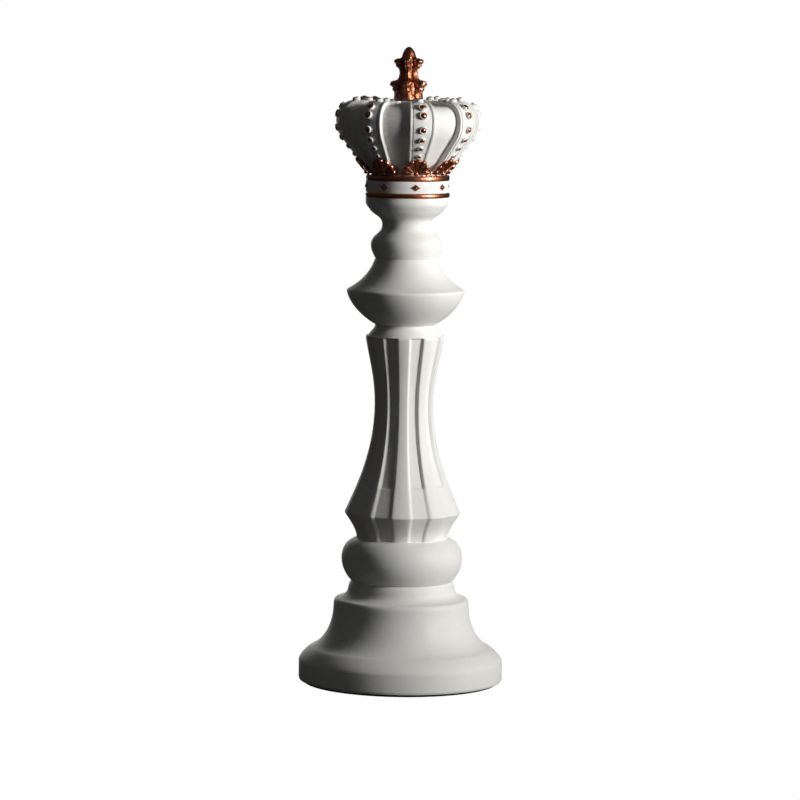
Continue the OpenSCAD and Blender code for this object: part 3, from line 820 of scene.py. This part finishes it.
def makePalmettes(v, crown):
    vertices, faces, columns = [], [], v["across"] + 1
    for i in range(1, v["out"] + 1):
        vertices += [onRibCone(*leafPoint(v, -1 + 2 * j / v["across"], i / v["out"]))
                     for j in range(columns)]
    for scale in (1.0, 0.55):  # back of the leaf, sunk a little into the rib
        for j in range(columns):
            x, s, _ = leafPoint(v, -1 + 2 * j / v["across"], scale)
            vertices.append(onRibCone(x, s, -0.25))
    rowCount = v["out"] + 2
    for i in range(rowCount - 1):
        faces += [[i * columns + j, (i + 1) * columns + j, (i + 1) * columns + j + 1, i * columns + j + 1]
                  for j in range(columns - 1)]
    vertices += [onRibCone(*leafPoint(v, 0, 0)[:2], v["base"]), onRibCone(0, v["foot"], -0.25)]
    front, back = len(vertices) - 2, len(vertices) - 1
    faces += [[front, j, j + 1] for j in range(columns - 1)]
    last = (rowCount - 1) * columns
    faces += [[back, last + j + 1, last + j] for j in range(columns - 1)]
    for j in (0, columns - 1):  # the two straight lower edges
        faces.append([front] + [i * columns + j for i in range(rowCount)] + [back])
    piece = newObject("palmettes", vertices, faces)
    knob = bmesh.new()
    knob.from_mesh(piece.data)
    middle = Matrix.Translation(Vector(onRibCone(0, v["foot"] + 0.2, 0.9)) * mm)
    bmesh.ops.create_uvsphere(knob, u_segments=20, v_segments=12, radius=1.5 * mm, matrix=middle)
    knob.to_mesh(piece.data)
    knob.free()
    faceOutwards(piece)
    setRound(piece, crown["ribs"], crown["firstRib"], copper)
    return finished(piece, copper, "palmettes", relief=0.7, passes=1)


curlValues = {"radius": 25.0, "height": 325.9, "coil": 1.35, "end": 0.3, "turns": 1.3, "wire": 0.48,
              "apart": 1.5, "steps": 34, "around": 10}


def makeCurls(v, crown):
    # two facing scrolls, each a tapering wire wound inwards
    vertices, faces = [], []
    for side in (-1, 1):
        first = len(vertices)
        path = []
        for i in range(v["steps"] + 1):
            t = i / v["steps"]
            a = math.radians(-90) + side * turn * v["turns"] * t
            r = v["coil"] + (v["end"] - v["coil"]) * t
            path.append(Vector((v["radius"] + 0.35 * t, side * v["apart"] + r * math.cos(a),
                                v["height"] + r * math.sin(a))))
        for i, p in enumerate(path):
            along = (path[min(i + 1, v["steps"])] - path[max(i - 1, 0)]).normalized()
            out = Vector((1, 0, 0))
            across = along.cross(out).normalized()
            wire = v["wire"] * (1 - 0.35 * i / v["steps"])
            for j in range(v["around"]):
                b = turn * j / v["around"]
                vertices.append(p + across * wire * math.cos(b) + out * wire * math.sin(b))
        sides = v["around"]
        for i in range(v["steps"]):
            low, high = first + i * sides, first + (i + 1) * sides
            faces += [[low + j, low + (j + 1) % sides, high + (j + 1) % sides, high + j]
                      for j in range(sides)]
        faces.append([first + j for j in range(sides)][::-1])
        faces.append([first + v["steps"] * sides + j for j in range(sides)])
    piece = newObject("curls", vertices, faces)
    faceOutwards(piece)
    setRound(piece, crown["ribs"], crown["firstRib"] + 180 / crown["ribs"], copper)
    return finished(piece, copper, "scroll_trims", relief=0.5, passes=1)


makePalmettes(leafValues, crownValues)
makeCurls(curlValues, crownValues)
print("palmettes and curls made")

# the finial is meshed one leaf wide and then set round the axis
finialValues = {"low": 372.0, "leaves": 6, "firstLeaf": -100.0, "pin": 2.5, "pinDepth": 13.5, "across": 56,
                "fullStand": 4.5, "narrow": 0.36, "lobe": 3.0, "lobeDepth": 0.16, "vein": 0.8,
                "veinWidth": 0.08, "sideVein": 0.45, "sideVeinWidth": 0.06, "sideVeinAt": 0.55}


def smoothLine(points, each):
    # an even curve through the points
    points = [Vector(p) for p in points]
    padded = [points[0] * 2 - points[1]] + points + [points[-1] * 2 - points[-2]]
    line = [points[0]]
    for a, b, c, d in zip(padded, padded[1:], padded[2:], padded[3:]):
        for i in range(1, each + 1):
            t = i / each
            line.append((b * 2 + (c - a) * t + (a * 2 - b * 5 + c * 4 - d) * t * t
                         + (b * 3 - a - c * 3 + d) * t ** 3) * 0.5)
    return line


def makeFinial(v):
    # the same count of points on both lines: over a leaf's middle, and in the gap between leaves
    leaf = [(9.5, 372), (9.6, 373.2), (9.3, 375), (9.6, 376.6), (10.7, 377.9), (10.6, 379.2), (11.6, 380),
            (12.7, 380.9), (12.5, 382.4), (11.3, 383.5), (9.0, 383.9), (7.2, 384.6), (6.3, 386.4),
            (6.0, 388.6), (6.4, 390.6), (7.7, 392), (8.9, 392.9), (8.8, 394), (9.9, 394.6), (10.2, 395.8),
            (9.6, 397), (7.6, 397.6), (5.4, 398), (4.5, 399.2), (4.0, 400.8), (3.3, 402.5), (1.9, 404.1),
            (0.9, 404.8), (0, 405)]
    gap = [(8.4, 372), (8.4, 373.2), (8.0, 374.6), (7.7, 375.8), (7.5, 376.8), (7.4, 377.7), (7.3, 378.5),
           (7.2, 379.3), (7.1, 380.3), (6.9, 381.5), (6.6, 382.8), (5.7, 384.2), (5.1, 386.0), (4.8, 388.2),
           (4.8, 389.8), (4.9, 390.9), (5.0, 391.8), (5.1, 392.7), (5.1, 393.5), (5.1, 394.5), (5.1, 395.6),
           (5.0, 396.6), (4.7, 397.7), (4.4, 399.1), (4.0, 400.8), (3.3, 402.5), (1.9, 404.1), (0.9, 404.8),
           (0, 405)]
    leaf, gap = smoothLine(leaf, 4), smoothLine(gap, 4)
    halfStep = math.pi / v["leaves"]
    angles = [-halfStep + 2 * halfStep * j / v["across"] for j in range(v["across"] + 1)]
    rows = [[(0, v["low"] + v["pinDepth"])] * len(angles),
            [(v["pin"], v["low"] + v["pinDepth"])] * len(angles),
            [(v["pin"], v["low"])] * len(angles)]
    for p, g in zip(leaf, gap):
        stand = min(1.0, max(0.0, (p.x - g.x) / v["fullStand"]))  # how far the leaf stands off here
        lobe = v["lobeDepth"] * abs(math.sin(math.pi * (p.y - v["low"]) / v["lobe"]))
        half = halfStep * (1.0 - v["narrow"] * stand - lobe)
        row = []
        for a in angles:
            s = min(1.0, abs(a) / half)
            weight = (1 - s ** 2.6) ** 0.7
            fromSideVein = (abs(a) - v["sideVeinAt"] * half) / v["sideVeinWidth"]
            crease = stand * (v["vein"] * math.exp(-(a / v["veinWidth"]) ** 2)
                              + v["sideVein"] * math.exp(-fromSideVein ** 2))
            q = g + (p - g) * weight
            row.append((max(q.x - crease, 0), q.y))
        rows.append(row)
    piece = spunMesh("leafyFinial", rows, angles, False, False)
    setRound(piece, v["leaves"], v["firstLeaf"], copper, weldDistance)
    return finished(piece, copper, "finial", "finial_head", relief=0.8)


makeFinial(finialValues)
print("finial made")

# metres, watts and degrees; a light's angle is measured from the front towards the right
stageValues = {"cameraDistance": 2.7, "cameraHeight": 0.448, "side": -0.00255, "pitch": 5.65, "roll": 0.81,
               "lens": 191.9, "sensor": 36, "floorHalf": 6.0, "fill": 0.045}
keyValues = {"angle": 64.0, "rise": 7.0, "distance": 1.31, "size": 0.46, "power": 3.55, "spread": 72.0,
             "aim": 0.36}
backValues = {"angle": 190.0, "rise": 4.0, "distance": 1.4, "size": 0.8, "power": 3.0, "spread": 120.0,
              "aim": 0.2}


def areaLight(name, v):
    a, e = math.radians(v["angle"]), math.radians(v["rise"])
    aim = Vector((0, 0, v["aim"]))
    light = bpy.data.lights.new(name, "AREA")
    light.shape, light.size = "DISK", v["size"]
    light.energy, light.spread = v["power"], math.radians(v["spread"])
    lamp = bpy.data.objects.new(name, light)
    away = Vector((math.sin(a) * math.cos(e), -math.cos(a) * math.cos(e), math.sin(e)))
    lamp.location = aim + away * v["distance"]
    lamp.rotation_euler = (aim - lamp.location).to_track_quat("-Z", "Y").to_euler()
    bpy.context.scene.collection.objects.link(lamp)


def makeStage(v):
    scene = bpy.context.scene
    world = bpy.data.worlds.new("studio")
    scene.world = world
    world.use_nodes = True
    world.node_tree.nodes.clear()
    tree = world.node_tree
    ray = addNode(tree, "ShaderNodeLightPath").outputs["Is Camera Ray"]
    seen = addNode(tree, "ShaderNodeBackground", {"Color": linear("#ffffff"), "Strength": 1.0})
    fill = addNode(tree, "ShaderNodeBackground", {"Color": linear("#f4f4f0"), "Strength": v["fill"]})
    mixed = addNode(tree, "ShaderNodeMixShader", None, {0: ray, 1: fill, 2: seen})
    addNode(tree, "ShaderNodeOutputWorld", None, {"Surface": mixed})

    paper, paperTree, _ = newMaterial("floorPaper")
    ray = addNode(paperTree, "ShaderNodeLightPath").outputs["Is Camera Ray"]
    glow = addNode(paperTree, "ShaderNodeEmission", {"Color": linear("#ffffff"), "Strength": 1.0})
    dim = addNode(paperTree, "ShaderNodeBsdfDiffuse", {"Color": linear("#4a4a4a")})
    both = addNode(paperTree, "ShaderNodeMixShader", None, {0: ray, 1: dim, 2: glow})
    addNode(paperTree, "ShaderNodeOutputMaterial", None, {"Surface": both})
    far = v["floorHalf"] / mm
    corners = [(-far, -far, 0), (far, -far, 0), (far, far, 0), (-far, far, 0)]
    floor = newObject("floor", corners, [[0, 1, 2, 3]])
    floor.data.materials.append(paper)

    areaLight("key", keyValues)
    areaLight("back", backValues)

    lens = bpy.data.cameras.new("camera")
    lens.lens, lens.sensor_width = v["lens"], v["sensor"]
    camera = bpy.data.objects.new("camera", lens)
    camera.location = (v["side"], -v["cameraDistance"], v["cameraHeight"])
    pitch = Matrix.Rotation(math.radians(90 - v["pitch"]), 4, "X")
    roll = Matrix.Rotation(math.radians(v["roll"]), 4, "Z")
    camera.rotation_euler = (pitch @ roll).to_euler()
    scene.collection.objects.link(camera)
    scene.camera = camera
    scene.view_settings.view_transform = "Standard"


makeStage(stageValues)
print("stage ready")
